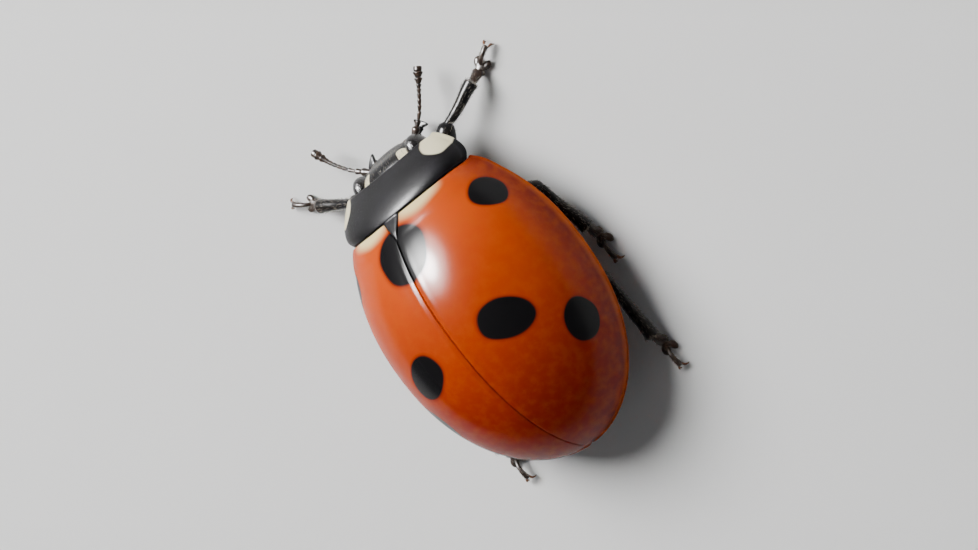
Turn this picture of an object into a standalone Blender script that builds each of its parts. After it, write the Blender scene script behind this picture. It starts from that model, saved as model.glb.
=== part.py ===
"""Seven-spot ladybird (Coccinella septempunctata): a still, life-size model, standing.

Every dimension below is in millimetres; meshes become metres as their objects are made.
The beetle faces -Y, its left side is +X and its feet stand on z = 0. The root empty then
puts the middle of the whole beetle's box over the origin.
"""
import math

import bmesh
import bpy
from mathutils import Matrix, Vector

MM = 0.001
GAP = 0.04                    # clear space between neighbouring pieces
SHELL = 0.5                   # thickness of the elytra and of the pronotum

# Elytra: one dome, parted along the suture
ELYTRA_BASE_Y = -1.89         # at the scutellum
ELYTRA_LENGTH = 5.9
ELYTRA_HALF_WIDTH = 2.4
ELYTRA_RISE = 2.2             # from the margin up to the crest
MARGIN_HEIGHT = 1.1           # of the elytral margin, above the floor
WIDEST_AT = 0.434             # fraction of the length behind the base
HIGHEST_AT = 0.415
SECTION_POWER = 1.924         # superellipse of the cross-section; 2 is an ellipse
BASE_BOW = 0.08               # the shoulders reach forward past the scutellum
SHOULDER_LENGTH = 0.06        # fraction of the length over which the shoulder rounds off
SHOULDER_TUCK = 0.05          # how much narrower the very base is
SHOULDER_LIFT = 0.14          # the margin rises a little towards the shoulder
STATIONS = 22                 # rings along the dome
SECTOR = 13                   # points from the margin up to the crest

# Underside
THORAX_END = 0.385            # fraction of the elytral length
KEEL_DEPTH = 0.5              # how far the belly hangs below the margin
NECK = ((-2.05, 0.9), (-2.18, 0.78))     # places and scales of the thorax under the pronotum
NECK_MIDDLE_HEIGHT = 1.5

# Pronotum
PRONOTUM_LENGTH = 0.86        # along the midline, seen from above
PRONOTUM_HALF_WIDTH = 1.66
PRONOTUM_FRONT_HALF_WIDTH = 1.2
PRONOTUM_WIDEST_AT = 0.2      # fraction of its length before its rear margin
PRONOTUM_REAR_BOW = BASE_BOW
PRONOTUM_FRONT_BOW = 0.06
PRONOTUM_REAR_HEIGHT = 2.35
PRONOTUM_FRONT_HEIGHT = 1.66
PRONOTUM_EDGE_HEIGHT = MARGIN_HEIGHT + SHOULDER_LIFT
PRONOTUM_EDGE_FALL = 0.18     # from the rear corners down to the front ones
PROTHORAX_REAR = Vector((0, -2.0, 1.4))
PROTHORAX_FRONT = Vector((0, -2.6, 1.12))
PROTHORAX_RADII = (1.08, 0.5, 0.5)        # across, up and down

# Head: its places are those of a head held forwards, which is then bent down and drawn in
HEAD_BEND = math.radians(20)
HEAD_SHIFT = Vector((0, 0.12, -0.12))
HEAD_BACK = Vector((0, -2.5, 1.5))
HEAD_FRONT = Vector((0, -3.34, 1.0))
HEAD_HALF_WIDTH = 0.84
HEAD_HALF_DEPTH = 0.42
EYE_CENTRE = Vector((0.76, -2.99, 1.34))
EYE_RADII = Vector((0.22, 0.29, 0.34))
MOUTH_CENTRE = Vector((0, -3.36, 0.82))
MOUTH_RADII = Vector((0.42, 0.2, 0.24))

# Legs, left side: coxa centre and radii, then hip, knee, ankle and toe
FEMUR_RADII = (0.17, 0.25, 0.29, 0.29, 0.25, 0.2)
TIBIA_RADII = (0.2, 0.22, 0.24, 0.25, 0.22)
ANKLE_HEIGHT = 0.4
LEGS = {
    "front": {
        "coxa": Vector((0.45, -2.12, 0.68)),
        "coxa_radii": Vector((0.32, 0.25, 0.24)),
        "hip": Vector((0.74, -2.24, 0.54)),
        "knee": Vector((1.4, -2.82, 0.74)),
        "ankle": Vector((2.22, -3.2, ANKLE_HEIGHT)),
        "toe": Vector((2.92, -3.66, 0.12)),
    },
    "middle": {
        "coxa": Vector((0.66, -1.12, 0.66)),
        "coxa_radii": Vector((0.32, 0.3, 0.2)),
        "hip": Vector((0.98, -1.06, 0.54)),
        "knee": Vector((2.3, -0.68, 0.78)),
        "ankle": Vector((2.4, 0.48, ANKLE_HEIGHT)),
        "toe": Vector((2.4, 1.4, 0.12)),
    },
    "hind": {
        "coxa": Vector((0.7, 0.42, 0.6)),
        "coxa_radii": Vector((0.5, 0.22, 0.16)),
        "hip": Vector((1.12, 0.56, 0.52)),
        "knee": Vector((2.3, 1.62, 0.78)),
        "ankle": Vector((2.14, 2.98, ANKLE_HEIGHT)),
        "toe": Vector((2.16, 3.86, 0.12)),
    },
}
LIMB_SIDES = 10

# Feelers and palps, left side
ANTENNA_PATH = (Vector((0.6, -3.32, 1.12)), Vector((0.98, -3.62, 1.16)),
                Vector((1.28, -3.98, 1.26)), Vector((1.5, -4.36, 1.3)))
ANTENNA_RADII = (0.19, 0.21, 0.23, 0.24)
PALP_PATH = (Vector((0.34, -3.3, 0.74)), Vector((0.54, -3.5, 0.76)), Vector((0.76, -3.7, 0.78)))
PALP_RADII = (0.16, 0.2, 0.26)


# --- Materials ---------------------------------------------------------------------------

FINISHES = {
    "elytra": ((0.62, 0.075, 0.012), 0.2),
    "black_cuticle": ((0.012, 0.011, 0.012), 0.28),
    "dark_underside": ((0.02, 0.016, 0.015), 0.45),
    "eye": ((0.018, 0.018, 0.02), 0.2),
}


def material(name):
    found = bpy.data.materials.get(name)
    if found:
        return found
    colour, roughness = FINISHES[name]
    made = bpy.data.materials.new(name)
    made.use_nodes = True
    shader = made.node_tree.nodes["Principled BSDF"]
    shader.inputs["Base Color"].default_value = (*colour, 1.0)
    shader.inputs["Roughness"].default_value = roughness
    shader.inputs["Metallic"].default_value = 0.0
    return made


# --- Mesh helpers, all in millimetres ------------------------------------------------------

def finish_mesh(bm):
    """Join doubled points, drop what they leave empty, and turn the faces outwards."""
    bmesh.ops.remove_doubles(bm, verts=bm.verts, dist=1e-4)
    bmesh.ops.dissolve_degenerate(bm, edges=bm.edges, dist=1e-4)
    bmesh.ops.recalc_face_normals(bm, faces=bm.faces)


def loft(rings):
    """A closed solid through rings of equal count, capped with a fan at each end."""
    bm = bmesh.new()
    rows = [[bm.verts.new(point) for point in ring] for ring in rings]
    count = len(rows[0])
    for row, following in zip(rows, rows[1:]):
        for i in range(count):
            j = (i + 1) % count
            bm.faces.new((row[i], row[j], following[j], following[i]))
    for row in (rows[0], rows[-1]):
        middle = bm.verts.new(sum((vert.co for vert in row), Vector()) / count)
        for i in range(count):
            bm.faces.new((row[i], row[(i + 1) % count], middle))
    finish_mesh(bm)
    return bm


def plate(outer, inner):
    """A closed solid between two grids of points of the same size."""
    bm = bmesh.new()
    grids = [[[bm.verts.new(p) for p in row] for row in grid] for grid in (outer, inner)]
    rows, columns = len(outer), len(outer[0])
    for grid in grids:
        for i in range(rows - 1):
            for j in range(columns - 1):
                bm.faces.new((grid[i][j], grid[i][j + 1], grid[i + 1][j + 1], grid[i + 1][j]))
    top, bottom = grids
    for i in (0, rows - 1):
        for j in range(columns - 1):
            bm.faces.new((top[i][j], top[i][j + 1], bottom[i][j + 1], bottom[i][j]))
    for j in (0, columns - 1):
        for i in range(rows - 1):
            bm.faces.new((top[i][j], top[i + 1][j], bottom[i + 1][j], bottom[i][j]))
    finish_mesh(bm)
    return bm


def ellipsoid(centre, radii, segments=12, rings=8):
    bm = bmesh.new()
    bmesh.ops.create_uvsphere(bm, u_segments=segments, v_segments=rings, radius=1)
    for vert in bm.verts:
        vert.co = centre + Vector(a * b for a, b in zip(vert.co, radii))
    return bm


def mirrored(bm):
    """The same solid on the beetle's other side."""
    for vert in bm.verts:
        vert.co.x = -vert.co.x
    bmesh.ops.reverse_faces(bm, faces=bm.faces)
    return bm


def for_side(bm, side):
    return bm if side == "left" else mirrored(bm)


# --- Objects -------------------------------------------------------------------------------

uncut_shapes = {}             # each object's mesh as it was before its neighbours cut it


def add_object(name, bm, finish, parent=None):
    """One named object in metres, with its own shape in place around its parent's origin."""
    for vert in bm.verts:
        vert.co *= MM
    mesh = bpy.data.meshes.new(name)
    bm.to_mesh(mesh)
    bm.free()
    mesh.shade_smooth()
    mesh.set_sharp_from_angle(angle=math.radians(40))
    mesh.materials.append(material(finish))
    obj = bpy.data.objects.new(name, mesh)
    bpy.context.collection.objects.link(obj)
    obj.parent = parent
    uncut_shapes[name] = mesh
    return obj


def grown_copy(obj, gap):
    """A cutter: the object's uncut shape moved outwards by the gap."""
    bm = bmesh.new()
    bm.from_mesh(uncut_shapes[obj.name])
    bm.normal_update()
    moves = [(vert, vert.normal * gap * MM * vert.calc_shell_factor()) for vert in bm.verts]
    for vert, move in moves:
        vert.co += move
    mesh = bpy.data.meshes.new(obj.name + "_cutter")
    bm.to_mesh(mesh)
    bm.free()
    cutter = bpy.data.objects.new(mesh.name, mesh)
    cutter.matrix_world = obj.matrix_world
    cutter.hide_render = True
    cutter.display_type = "WIRE"
    bpy.context.collection.objects.link(cutter)
    return cutter


def keep_clear(obj, *neighbours):
    """Cut the neighbours' shapes, with the gap round them, out of the object."""
    bpy.context.view_layer.update()
    cutters = [grown_copy(neighbour, GAP) for neighbour in neighbours]
    for cutter in cutters:
        cut = obj.modifiers.new("clear_of_" + cutter.name, "BOOLEAN")
        cut.operation = "DIFFERENCE"
        cut.solver = "EXACT"
        cut.object = cutter
    bpy.context.view_layer.update()
    evaluated = obj.evaluated_get(bpy.context.evaluated_depsgraph_get())
    cut_mesh = bpy.data.meshes.new_from_object(evaluated)
    obj.modifiers.clear()
    obj.data = cut_mesh
    for cutter in cutters:
        bpy.data.objects.remove(cutter)


# --- Elytra, thorax and abdomen --------------------------------------------------------------

def stations(start, end, count):
    """Fractions of the elytral length, closer together towards both ends of the dome."""
    even = [i / count for i in range(count + 1)]
    spread = [0.5 - 0.5 * math.cos(math.pi * u) for u in even]
    return [start] + [t for t in spread if start + 0.004 < t < end - 0.004] + [end]


def dome_half_width(t):
    if t < WIDEST_AT:
        fall = ((WIDEST_AT - t) / (WIDEST_AT + 0.13)) ** 2.2
    else:
        fall = ((t - WIDEST_AT) / (1 - WIDEST_AT)) ** 2.1
    tuck = SHOULDER_TUCK * max(0.0, 1 - t / SHOULDER_LENGTH) ** 2
    return ELYTRA_HALF_WIDTH * math.sqrt(max(0.0, 1 - fall)) * (1 - tuck)


def dome_rise(t):
    if t < HIGHEST_AT:
        return ELYTRA_RISE * (1 - 0.42 * ((HIGHEST_AT - t) / HIGHEST_AT) ** 2.1)
    return ELYTRA_RISE * max(0.0, 1 - ((t - HIGHEST_AT) / (1 - HIGHEST_AT)) ** 2.3) ** 0.62


def superellipse(angle):
    """Across and up, from 1, 0 at the left margin over 0, 1 at the crest to -1, 0."""
    across, up = math.cos(angle), abs(math.sin(angle))
    power = 2 / SECTION_POWER
    return math.copysign(abs(across) ** power, across), up ** power


def dome_surface(t, angle):
    across, up = superellipse(angle)
    lift = SHOULDER_LIFT * (1 - t) ** 6 * (1 - up)
    return Vector((dome_half_width(t) * across,
                   ELYTRA_BASE_Y + ELYTRA_LENGTH * t - BASE_BOW * (1 - t) ** 5 * across ** 2,
                   MARGIN_HEIGHT + lift + dome_rise(t) * up))


def dome(t, angle, inset=0.0):
    """A point of the dome, moved inwards along its normal by the inset."""
    point = dome_surface(t, angle)
    if not inset:
        return point
    if t > 0.9999:
        return point - Vector((0, inset, 0))
    step = 1e-3
    before, after = max(0.0, t - step), min(1.0, t + step)
    along = dome_surface(after, angle) - dome_surface(before, angle)
    low, high = max(0.0, angle - 0.02), min(math.pi, angle + 0.02)
    around = dome_surface(t, high) - dome_surface(t, low)
    normal = along.cross(around).normalized()
    outwards = point - Vector((0, point.y, MARGIN_HEIGHT - 0.5))
    if normal.dot(outwards) < 0:
        normal.negate()
    return point - normal * inset


def make_elytra(root):
    angles = [math.pi / 2 * i / SECTOR for i in range(SECTOR + 1)]
    lengths = stations(0, 1, STATIONS)
    half_gap = Vector((GAP / 2, 0, 0))
    made = []
    for side in ("left", "right"):
        outer = [[dome(t, a) + half_gap for a in angles] for t in lengths]
        inner = [[dome(t, a, SHELL) + half_gap for a in angles] for t in lengths]
        half = for_side(plate(outer, inner), side)
        made.append(add_object("elytron_" + side, half, "elytra", root))
    return made


def belly_ring(t, keel_depth):
    """One closed ring: under the elytra from side to side, then across the belly."""
    angles = [math.pi * i / (2 * SECTOR) for i in range(2 * SECTOR + 1)]
    over = [dome(t, a, SHELL + GAP) for a in angles]
    edge = over[0]
    width = abs(edge.x)
    below = 10
    under = []
    for i in range(1, below):
        across = -1 + 2 * i / below
        sag = keel_depth * (1 - across ** 2)
        under.append(Vector((width * across, edge.y, edge.z - sag)))
    return over + under


def keel(t):
    """Depth of the belly: full under the thorax, running out at the tail."""
    return KEEL_DEPTH * (1 - max(0.0, (t - 0.3) / 0.7) ** 1.6)


def neck_rings():
    """The thorax's front end, narrowing to fit inside the pronotum."""
    rings = []
    for y, scale in reversed(NECK):
        ring = belly_ring(0.0, KEEL_DEPTH * 0.6)
        rings.append([Vector((point.x * scale, y,
                              NECK_MIDDLE_HEIGHT + (point.z - NECK_MIDDLE_HEIGHT) * scale))
                      for point in ring])
    return rings


def make_body(root):
    half_gap = GAP / 2 / ELYTRA_LENGTH
    parts = (("thorax", 0.0, THORAX_END - half_gap), ("abdomen", THORAX_END + half_gap, 1.0))
    made = {}
    for name, start, end in parts:
        rings = [belly_ring(t, keel(t)) for t in stations(start, end, STATIONS - 8)]
        if name == "thorax":
            rings = neck_rings() + rings
        made[name] = add_object(name, loft(rings), "dark_underside", root)
    return made


def make_scutellum(root):
    """The small triangle between the elytra, behind the pronotum."""
    half, length, depth = 0.2, 0.42, 0.3
    front = dome_surface(0, math.pi / 2)
    rear = dome_surface(length / ELYTRA_LENGTH, math.pi / 2)
    corners = (front + Vector((half, 0, 0)), front - Vector((half, 0, 0)), rear)
    lower = [corner - Vector((0, 0, depth)) for corner in corners]
    return add_object("scutellum", loft([corners, lower]), "black_cuticle", root)


# --- Pronotum and prothorax ------------------------------------------------------------------

def pronotum_surface(v, angle):
    """v runs from the rear margin, 0, to the front margin, 1."""
    across, up = superellipse(angle)
    if v < PRONOTUM_WIDEST_AT:
        half_width = PRONOTUM_HALF_WIDTH * (1 - 0.05 * (1 - v / PRONOTUM_WIDEST_AT) ** 2)
    else:
        narrowing = ((v - PRONOTUM_WIDEST_AT) / (1 - PRONOTUM_WIDEST_AT)) ** 1.8
        spare = PRONOTUM_HALF_WIDTH - PRONOTUM_FRONT_HALF_WIDTH
        half_width = PRONOTUM_HALF_WIDTH - spare * narrowing
    bow = PRONOTUM_REAR_BOW * (1 - v) + PRONOTUM_FRONT_BOW * v
    crest = PRONOTUM_REAR_HEIGHT
    crest -= (PRONOTUM_REAR_HEIGHT - PRONOTUM_FRONT_HEIGHT) * v ** 1.35
    rear = ELYTRA_BASE_Y - GAP
    edge = PRONOTUM_EDGE_HEIGHT - PRONOTUM_EDGE_FALL * v
    return Vector((half_width * across,
                   rear - PRONOTUM_LENGTH * v - bow * across ** 2,
                   edge + (crest - edge) * up))


def pronotum_inside(v, angle):
    """The underside of the shield: the same sheet, drawn in by the shell's thickness."""
    outside = pronotum_surface(v, angle)
    across, up = superellipse(angle)
    return outside - Vector((SHELL * across, 0, SHELL * up))


def make_pronotum(root):
    angles = [math.pi * i / 20 for i in range(21)]
    lengths = [i / 9 for i in range(10)]
    outer = [[pronotum_surface(v, a) for a in angles] for v in lengths]
    inner = [[pronotum_inside(v, a) for a in angles] for v in lengths]
    return add_object("pronotum", plate(outer, inner), "black_cuticle", root)


def make_prothorax(root):
    """What the pronotum covers: the block that carries the front legs and holds the head."""
    steps, sides = 6, 20
    half_width, upper, lower = PROTHORAX_RADII
    rings = []
    for i in range(steps + 1):
        swell = 1 - 0.25 * abs(2 * i / steps - 1) ** 3
        centre = PROTHORAX_REAR.lerp(PROTHORAX_FRONT, i / steps)
        ring = []
        for k in range(sides):
            across, up = math.cos(math.tau * k / sides), math.sin(math.tau * k / sides)
            height = upper if up > 0 else lower
            ring.append(centre + Vector((half_width * across, 0, height * up)) * swell)
        rings.append(ring)
    return add_object("prothorax", loft(rings), "dark_underside", root)


# --- Head --------------------------------------------------------------------------------------

def bent_down(bm):
    """Turn a piece of the head down about the back of the head, and draw it in."""
    turn = Matrix.Rotation(HEAD_BEND, 3, "X")
    for vert in bm.verts:
        vert.co = HEAD_BACK + HEAD_SHIFT + turn @ (vert.co - HEAD_BACK)
    return bm


def make_head(root):
    """A wide, short head."""
    axis = HEAD_FRONT - HEAD_BACK
    forward = axis.normalized()
    sideways = Vector((1, 0, 0))
    upward = forward.cross(sideways)
    if upward.z < 0:
        upward.negate()
    swells = (0.72, 0.9, 0.98, 1.0, 0.95, 0.8, 0.52)
    flats = (0.6, 0.85, 0.98, 1.0, 0.92, 0.75, 0.48)
    rings = []
    for i, (swell, flat) in enumerate(zip(swells, flats)):
        centre = HEAD_BACK + axis * i / (len(swells) - 1)
        ring = []
        for k in range(20):
            across, up = math.cos(math.tau * k / 20), math.sin(math.tau * k / 20)
            ring.append(centre + sideways * HEAD_HALF_WIDTH * swell * across
                        + upward * HEAD_HALF_DEPTH * flat * up)
        rings.append(ring)
    return add_object("head", bent_down(loft(rings)), "black_cuticle", root)


def make_eye(side, root):
    eye = bent_down(ellipsoid(EYE_CENTRE, EYE_RADII))
    return add_object("eye_" + side, for_side(eye, side), "eye", root)


def make_mouthparts(root):
    mouth = bent_down(ellipsoid(MOUTH_CENTRE, MOUTH_RADII))
    return add_object("mouthparts", mouth, "black_cuticle", root)


# --- Limbs -------------------------------------------------------------------------------------

def limb_ring(centre, forward, radius, cut_normal=None):
    """A ring round the limb, or its slanted section where a cut plane's normal is given."""
    sideways = forward.cross(Vector((0, 0, 1))).normalized()
    upward = sideways.cross(forward)
    ring = []
    for k in range(LIMB_SIDES):
        angle = math.tau * k / LIMB_SIDES
        offset = (sideways * math.cos(angle) + upward * math.sin(angle)) * radius
        if cut_normal:
            offset -= forward * offset.dot(cut_normal) / forward.dot(cut_normal)
        ring.append(centre + offset)
    return ring


def limb(start, end, radii, start_cut=None, end_cut=None):
    """A round limb with its radii spaced evenly along it, cut on a slant at the joints."""
    forward = (end - start).normalized()
    last = len(radii) - 1
    cuts = [start_cut] + [None] * (last - 1) + [end_cut]
    shifts = [Vector()] * (last + 1)
    if start_cut:
        shifts[0] = forward * GAP / 2 / forward.dot(start_cut)
    if end_cut:
        shifts[last] = -forward * GAP / 2 / forward.dot(end_cut)
    return loft([limb_ring(start.lerp(end, i / last) + shifts[i], forward, radius, cut)
                 for i, (radius, cut) in enumerate(zip(radii, cuts))])


def tarsus(ankle, toe, ankle_cut):
    """The foot, lying on its flat sole."""
    forward = (toe - ankle).normalized()
    level = Vector((forward.x, forward.y, 0)).normalized()
    rings = [limb_ring(ankle + forward * GAP / 2 / forward.dot(ankle_cut), forward, 0.22, ankle_cut)]
    shapes = ((0.3, 0.24, 0.25), (0.55, 0.24, 0.22), (0.8, 0.2, 0.18), (1.0, 0.1, 0.11))
    for reach, half_width, middle in shapes:
        centre = ankle.lerp(toe, reach)
        centre.z = middle
        sideways = level.cross(Vector((0, 0, 1)))
        ring = []
        for k in range(LIMB_SIDES):
            angle = math.tau * k / LIMB_SIDES
            offset = sideways * half_width * math.cos(angle)
            offset.z = (middle + 0.06) * math.sin(angle)
            ring.append(centre + offset)
        rings.append(ring)
    for ring in rings:
        for point in ring:
            point.z = max(point.z, 0.0)
    return loft(rings)


def make_leg(pair, side, root):
    """Coxa, femur, tibia and tarsus, hung from an empty at the hip."""
    place = LEGS[pair]
    hip, knee, ankle, toe = (place[name] for name in ("hip", "knee", "ankle", "toe"))
    thigh, shin, foot = ((b - a).normalized() for a, b in ((hip, knee), (knee, ankle), (ankle, toe)))
    knee_cut = (thigh + shin).normalized()
    ankle_cut = (shin + foot).normalized()
    pieces = {
        "coxa": ellipsoid(place["coxa"], place["coxa_radii"], 10, 6),
        "femur": limb(hip, knee, FEMUR_RADII, end_cut=knee_cut),
        "tibia": limb(knee, ankle, TIBIA_RADII, start_cut=knee_cut, end_cut=ankle_cut),
        "tarsus": tarsus(ankle, toe, ankle_cut),
    }
    hip_empty = bpy.data.objects.new("_".join(("hip", pair, side)), None)
    bpy.context.collection.objects.link(hip_empty)
    hip_empty.parent = root
    hip_empty.location = hip * MM if side == "left" else Vector((-hip.x, hip.y, hip.z)) * MM
    made = {}
    for name, bm in pieces.items():
        for vert in bm.verts:
            vert.co -= hip
        node = "_".join(("leg", pair, side, name))
        made[name] = add_object(node, for_side(bm, side), "black_cuticle", hip_empty)
    return made


def feeler(name, path, radii, side, root):
    """A bent feeler in one piece, through the points of its path."""
    rings = []
    for i, (point, radius) in enumerate(zip(path, radii)):
        before = path[max(0, i - 1)]
        after = path[min(len(path) - 1, i + 1)]
        rings.append(limb_ring(point, (after - before).normalized(), radius))
    tip = path[-1] + (path[-1] - path[-2]).normalized() * radii[-1] * 0.6
    rings.append(limb_ring(tip, (path[-1] - path[-2]).normalized(), radii[-1] * 0.55))
    shape = for_side(bent_down(loft(rings)), side)
    return add_object(name + "_" + side, shape, "black_cuticle", root)


# --- The whole beetle ----------------------------------------------------------------------------

def centre_on_origin(root):
    """Move the root so that the beetle's box is centred over the origin."""
    bpy.context.view_layer.update()
    corners = [obj.matrix_world @ vert.co
               for obj in bpy.data.objects if obj.type == "MESH" for vert in obj.data.vertices]
    root.location.x = -(min(c.x for c in corners) + max(c.x for c in corners)) / 2
    root.location.y = -(min(c.y for c in corners) + max(c.y for c in corners)) / 2
    bpy.context.view_layer.update()


def make_ladybird():
    root = bpy.data.objects.new("ladybird", None)
    bpy.context.collection.objects.link(root)
    elytra = make_elytra(root)
    body = make_body(root)
    scutellum = make_scutellum(root)
    pronotum = make_pronotum(root)
    prothorax = make_prothorax(root)
    head = make_head(root)
    mouthparts = make_mouthparts(root)
    for elytron in elytra:
        keep_clear(elytron, scutellum)
    keep_clear(body["thorax"], scutellum, pronotum)
    eyes = {side: make_eye(side, root) for side in ("left", "right")}
    keep_clear(head, *eyes.values())
    keep_clear(pronotum, head, *eyes.values())
    keep_clear(prothorax, pronotum, body["thorax"], head)
    keep_clear(mouthparts, head)
    for side, eye in eyes.items():
        antenna = feeler("antenna", ANTENNA_PATH, ANTENNA_RADII, side, root)
        keep_clear(antenna, head, eye)
        palp = feeler("palp", PALP_PATH, PALP_RADII, side, root)
        keep_clear(palp, head, mouthparts)
        for pair in LEGS:
            leg = make_leg(pair, side, root)
            keep_clear(leg["coxa"], prothorax, body["thorax"], body["abdomen"], head, leg["femur"])
    centre_on_origin(root)


for old in list(bpy.data.objects):
    bpy.data.objects.remove(old)
make_ladybird()
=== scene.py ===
"""The looks of the seven-spot ladybird model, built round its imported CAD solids.

Shapes are worked out in beetle millimetres: the beetle faces -Y, +X is its left side, its
feet stand on z = 0, and the front of the elytral suture is at y = -1.89, as in part.py.
new_mesh() turns them into metres and moves them to where the frame's solids stand.
"""

import math

import bmesh
import bpy
import numpy as np
from mathutils import Matrix, Vector


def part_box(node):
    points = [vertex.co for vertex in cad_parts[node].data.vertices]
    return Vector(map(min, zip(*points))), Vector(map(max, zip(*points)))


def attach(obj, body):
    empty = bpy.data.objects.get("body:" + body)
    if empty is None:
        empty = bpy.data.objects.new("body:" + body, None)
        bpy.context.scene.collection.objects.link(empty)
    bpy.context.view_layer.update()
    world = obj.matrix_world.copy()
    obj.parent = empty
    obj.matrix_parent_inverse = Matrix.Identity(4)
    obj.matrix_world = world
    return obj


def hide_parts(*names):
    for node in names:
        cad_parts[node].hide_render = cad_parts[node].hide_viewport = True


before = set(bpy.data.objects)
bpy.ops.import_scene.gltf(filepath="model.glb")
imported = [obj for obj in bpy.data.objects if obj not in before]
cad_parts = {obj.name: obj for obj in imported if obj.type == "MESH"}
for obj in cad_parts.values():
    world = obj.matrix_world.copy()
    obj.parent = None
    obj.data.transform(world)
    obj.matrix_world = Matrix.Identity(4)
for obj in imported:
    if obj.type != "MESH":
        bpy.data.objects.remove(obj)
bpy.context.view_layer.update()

MM = 0.001
MERGE_DISTANCE = 1e-7         # in metres
SHARP_ANGLE = math.radians(60)

# Driving dimensions of the solids, in millimetres
ELYTRA_BASE_Y = -1.89
ELYTRA_LENGTH = 5.9
SHOULDER_LIFT = 0.14
SECTION_POWER = 1.924
WIDEST_AT = 0.434             # along the elytra
HIGHEST_AT = 0.415
BASE_BOW = 0.08               # the shoulders reach forward past the scutellum
SHOULDER_LENGTH = 0.06        # along the elytra
SHOULDER_TUCK = 0.05          # how much narrower the very base is
PRONOTUM_LENGTH = 0.86
PRONOTUM_FRONT_HALF_WIDTH = 1.2
PRONOTUM_WIDEST_AT = 0.2
PRONOTUM_REAR_BOW = 0.08
PRONOTUM_FRONT_BOW = 0.06
PRONOTUM_FRONT_HEIGHT = 1.66
PRONOTUM_EDGE_FALL = 0.18     # from the rear corners down to the front ones
THORAX_END = 0.385            # along the elytra
KEEL_DEPTH = 0.5

# What the frame's solids say
elytron_low, elytron_high = (Vector(corner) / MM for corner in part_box("elytron_left"))
pronotum_low, pronotum_high = (Vector(corner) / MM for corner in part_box("pronotum"))
MARGIN_Z = elytron_low.z
DOME_RISE = elytron_high.z - MARGIN_Z
HALF_GAP = elytron_low.x
HALF_WIDTH = elytron_high.x - HALF_GAP
SHIFT_Y = elytron_high.y - (ELYTRA_BASE_Y + ELYTRA_LENGTH)
PRONOTUM_HALF_WIDTH = pronotum_high.x
PRONOTUM_EDGE_Z = pronotum_low.z + PRONOTUM_EDGE_FALL
PRONOTUM_CREST_Z = pronotum_high.z
PRONOTUM_REAR_Y = ELYTRA_BASE_Y - 2 * HALF_GAP


# --- Shapes and pieces ---

class Shape:
    """Points and faces of one piece, in beetle millimetres."""

    def __init__(self, *bodies):
        """Starts with closed bodies, each through a row of closed rings."""
        self.points = []
        self.faces = []
        for rings in bodies:
            self.grid(rings, closed=True)

    def grid(self, rows, closed=False):
        """A sheet through rows of points, whose numbers it returns; closed rows get end caps."""
        rows = np.asarray(rows, float)
        count, columns = rows.shape[:2]
        ids = len(self.points) + np.arange(count * columns).reshape(count, columns)
        self.points += [tuple(point) for row in rows for point in row]
        beside = np.roll(ids, -1, axis=1)
        steps = columns if closed else columns - 1
        for i in range(count - 1):
            corners = (ids[i], beside[i], beside[i + 1], ids[i + 1])
            self.faces += zip(*(row[:steps] for row in corners))
        if closed:
            for i in (0, -1):
                middle = len(self.points)
                self.points.append(tuple(rows[i].mean(axis=0)))
                self.faces += [(a, b, middle) for a, b in zip(ids[i], beside[i])]
        return ids

    def plate(self, outer, inner):
        """Adds a closed body between two grids of the same size."""
        over, under = self.grid(outer), self.grid(inner)
        for edge in (np.s_[0], np.s_[-1], np.s_[:, 0], np.s_[:, -1]):
            a, b = over[edge], under[edge]
            self.faces += zip(a, a[1:], b[1:], b)
        return self

    def for_side(self, side):
        """The shape itself on the left, its mirror image on the right."""
        if side == "right":
            self.points = [(-x, y, z) for x, y, z in self.points]
            self.faces = [face[::-1] for face in self.faces]
        return self


def new_object(name, data):
    made = bpy.data.objects.new(name, data)
    bpy.context.collection.objects.link(made)
    return made


def new_mesh(name, points, faces):
    """A smooth mesh in metres, moved to where the frame's solids stand."""
    mesh = bpy.data.meshes.new(name)
    mesh.from_pydata(((np.array(points) + (0, SHIFT_Y, 0)) * MM).tolist(), [], faces)
    mesh.shade_smooth()
    return mesh


def ride_along(name, mesh, material, replaces=()):
    """Make the mesh a piece that rides with the frame."""
    mesh.materials.append(material)
    piece = new_object(name, mesh)
    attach(piece, "root")
    if replaces:
        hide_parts(*replaces)


def place(shape, name, material, slot, replaces=()):
    """Make the shape a piece, with its doubled points merged and its faces pointing out."""
    mesh = new_mesh(name, shape.points, shape.faces)
    bm = bmesh.new()
    bm.from_mesh(mesh)
    bmesh.ops.remove_doubles(bm, verts=bm.verts, dist=MERGE_DISTANCE)
    bmesh.ops.dissolve_degenerate(bm, edges=bm.edges, dist=MERGE_DISTANCE)
    bmesh.ops.recalc_face_normals(bm, faces=bm.faces)
    bm.to_mesh(mesh)
    bm.free()
    mesh.set_sharp_from_angle(angle=SHARP_ANGLE)
    ride_along(name, mesh, material, replaces)


# --- Curves, limbs and sheets ---

def within(values):
    return np.clip(values, 0, 1)


def rise(values, start, length):
    """0 up to the start, 1 from that length past it, and straight between."""
    return within((values - start) / length)


def hump(distance, width):
    """A smooth rise of 1 where the distance is 0."""
    return np.exp(-(distance / width) ** 2)


def signed_power(values, power):
    return np.sign(values) * np.abs(values) ** power


def sheet(x, y, z):
    """Points from their coordinates, which may be single values, rows, columns or grids."""
    return np.stack(np.broadcast_arrays(x, y, z), axis=-1)


def full_turn(count):
    return np.linspace(0, math.tau, count, endpoint=False)


def from_side_to_side(count):
    """Fractions from -1 to 1, closest together at both."""
    return np.sin(np.linspace(-1, 1, count) * math.pi / 2)


def close_at_ends(count, start=0.0, end=1.0):
    """Fractions from start to end, closest together at both."""
    return start + (end - start) * (0.5 - 0.5 * np.cos(np.linspace(0, math.pi, count)))


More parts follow.
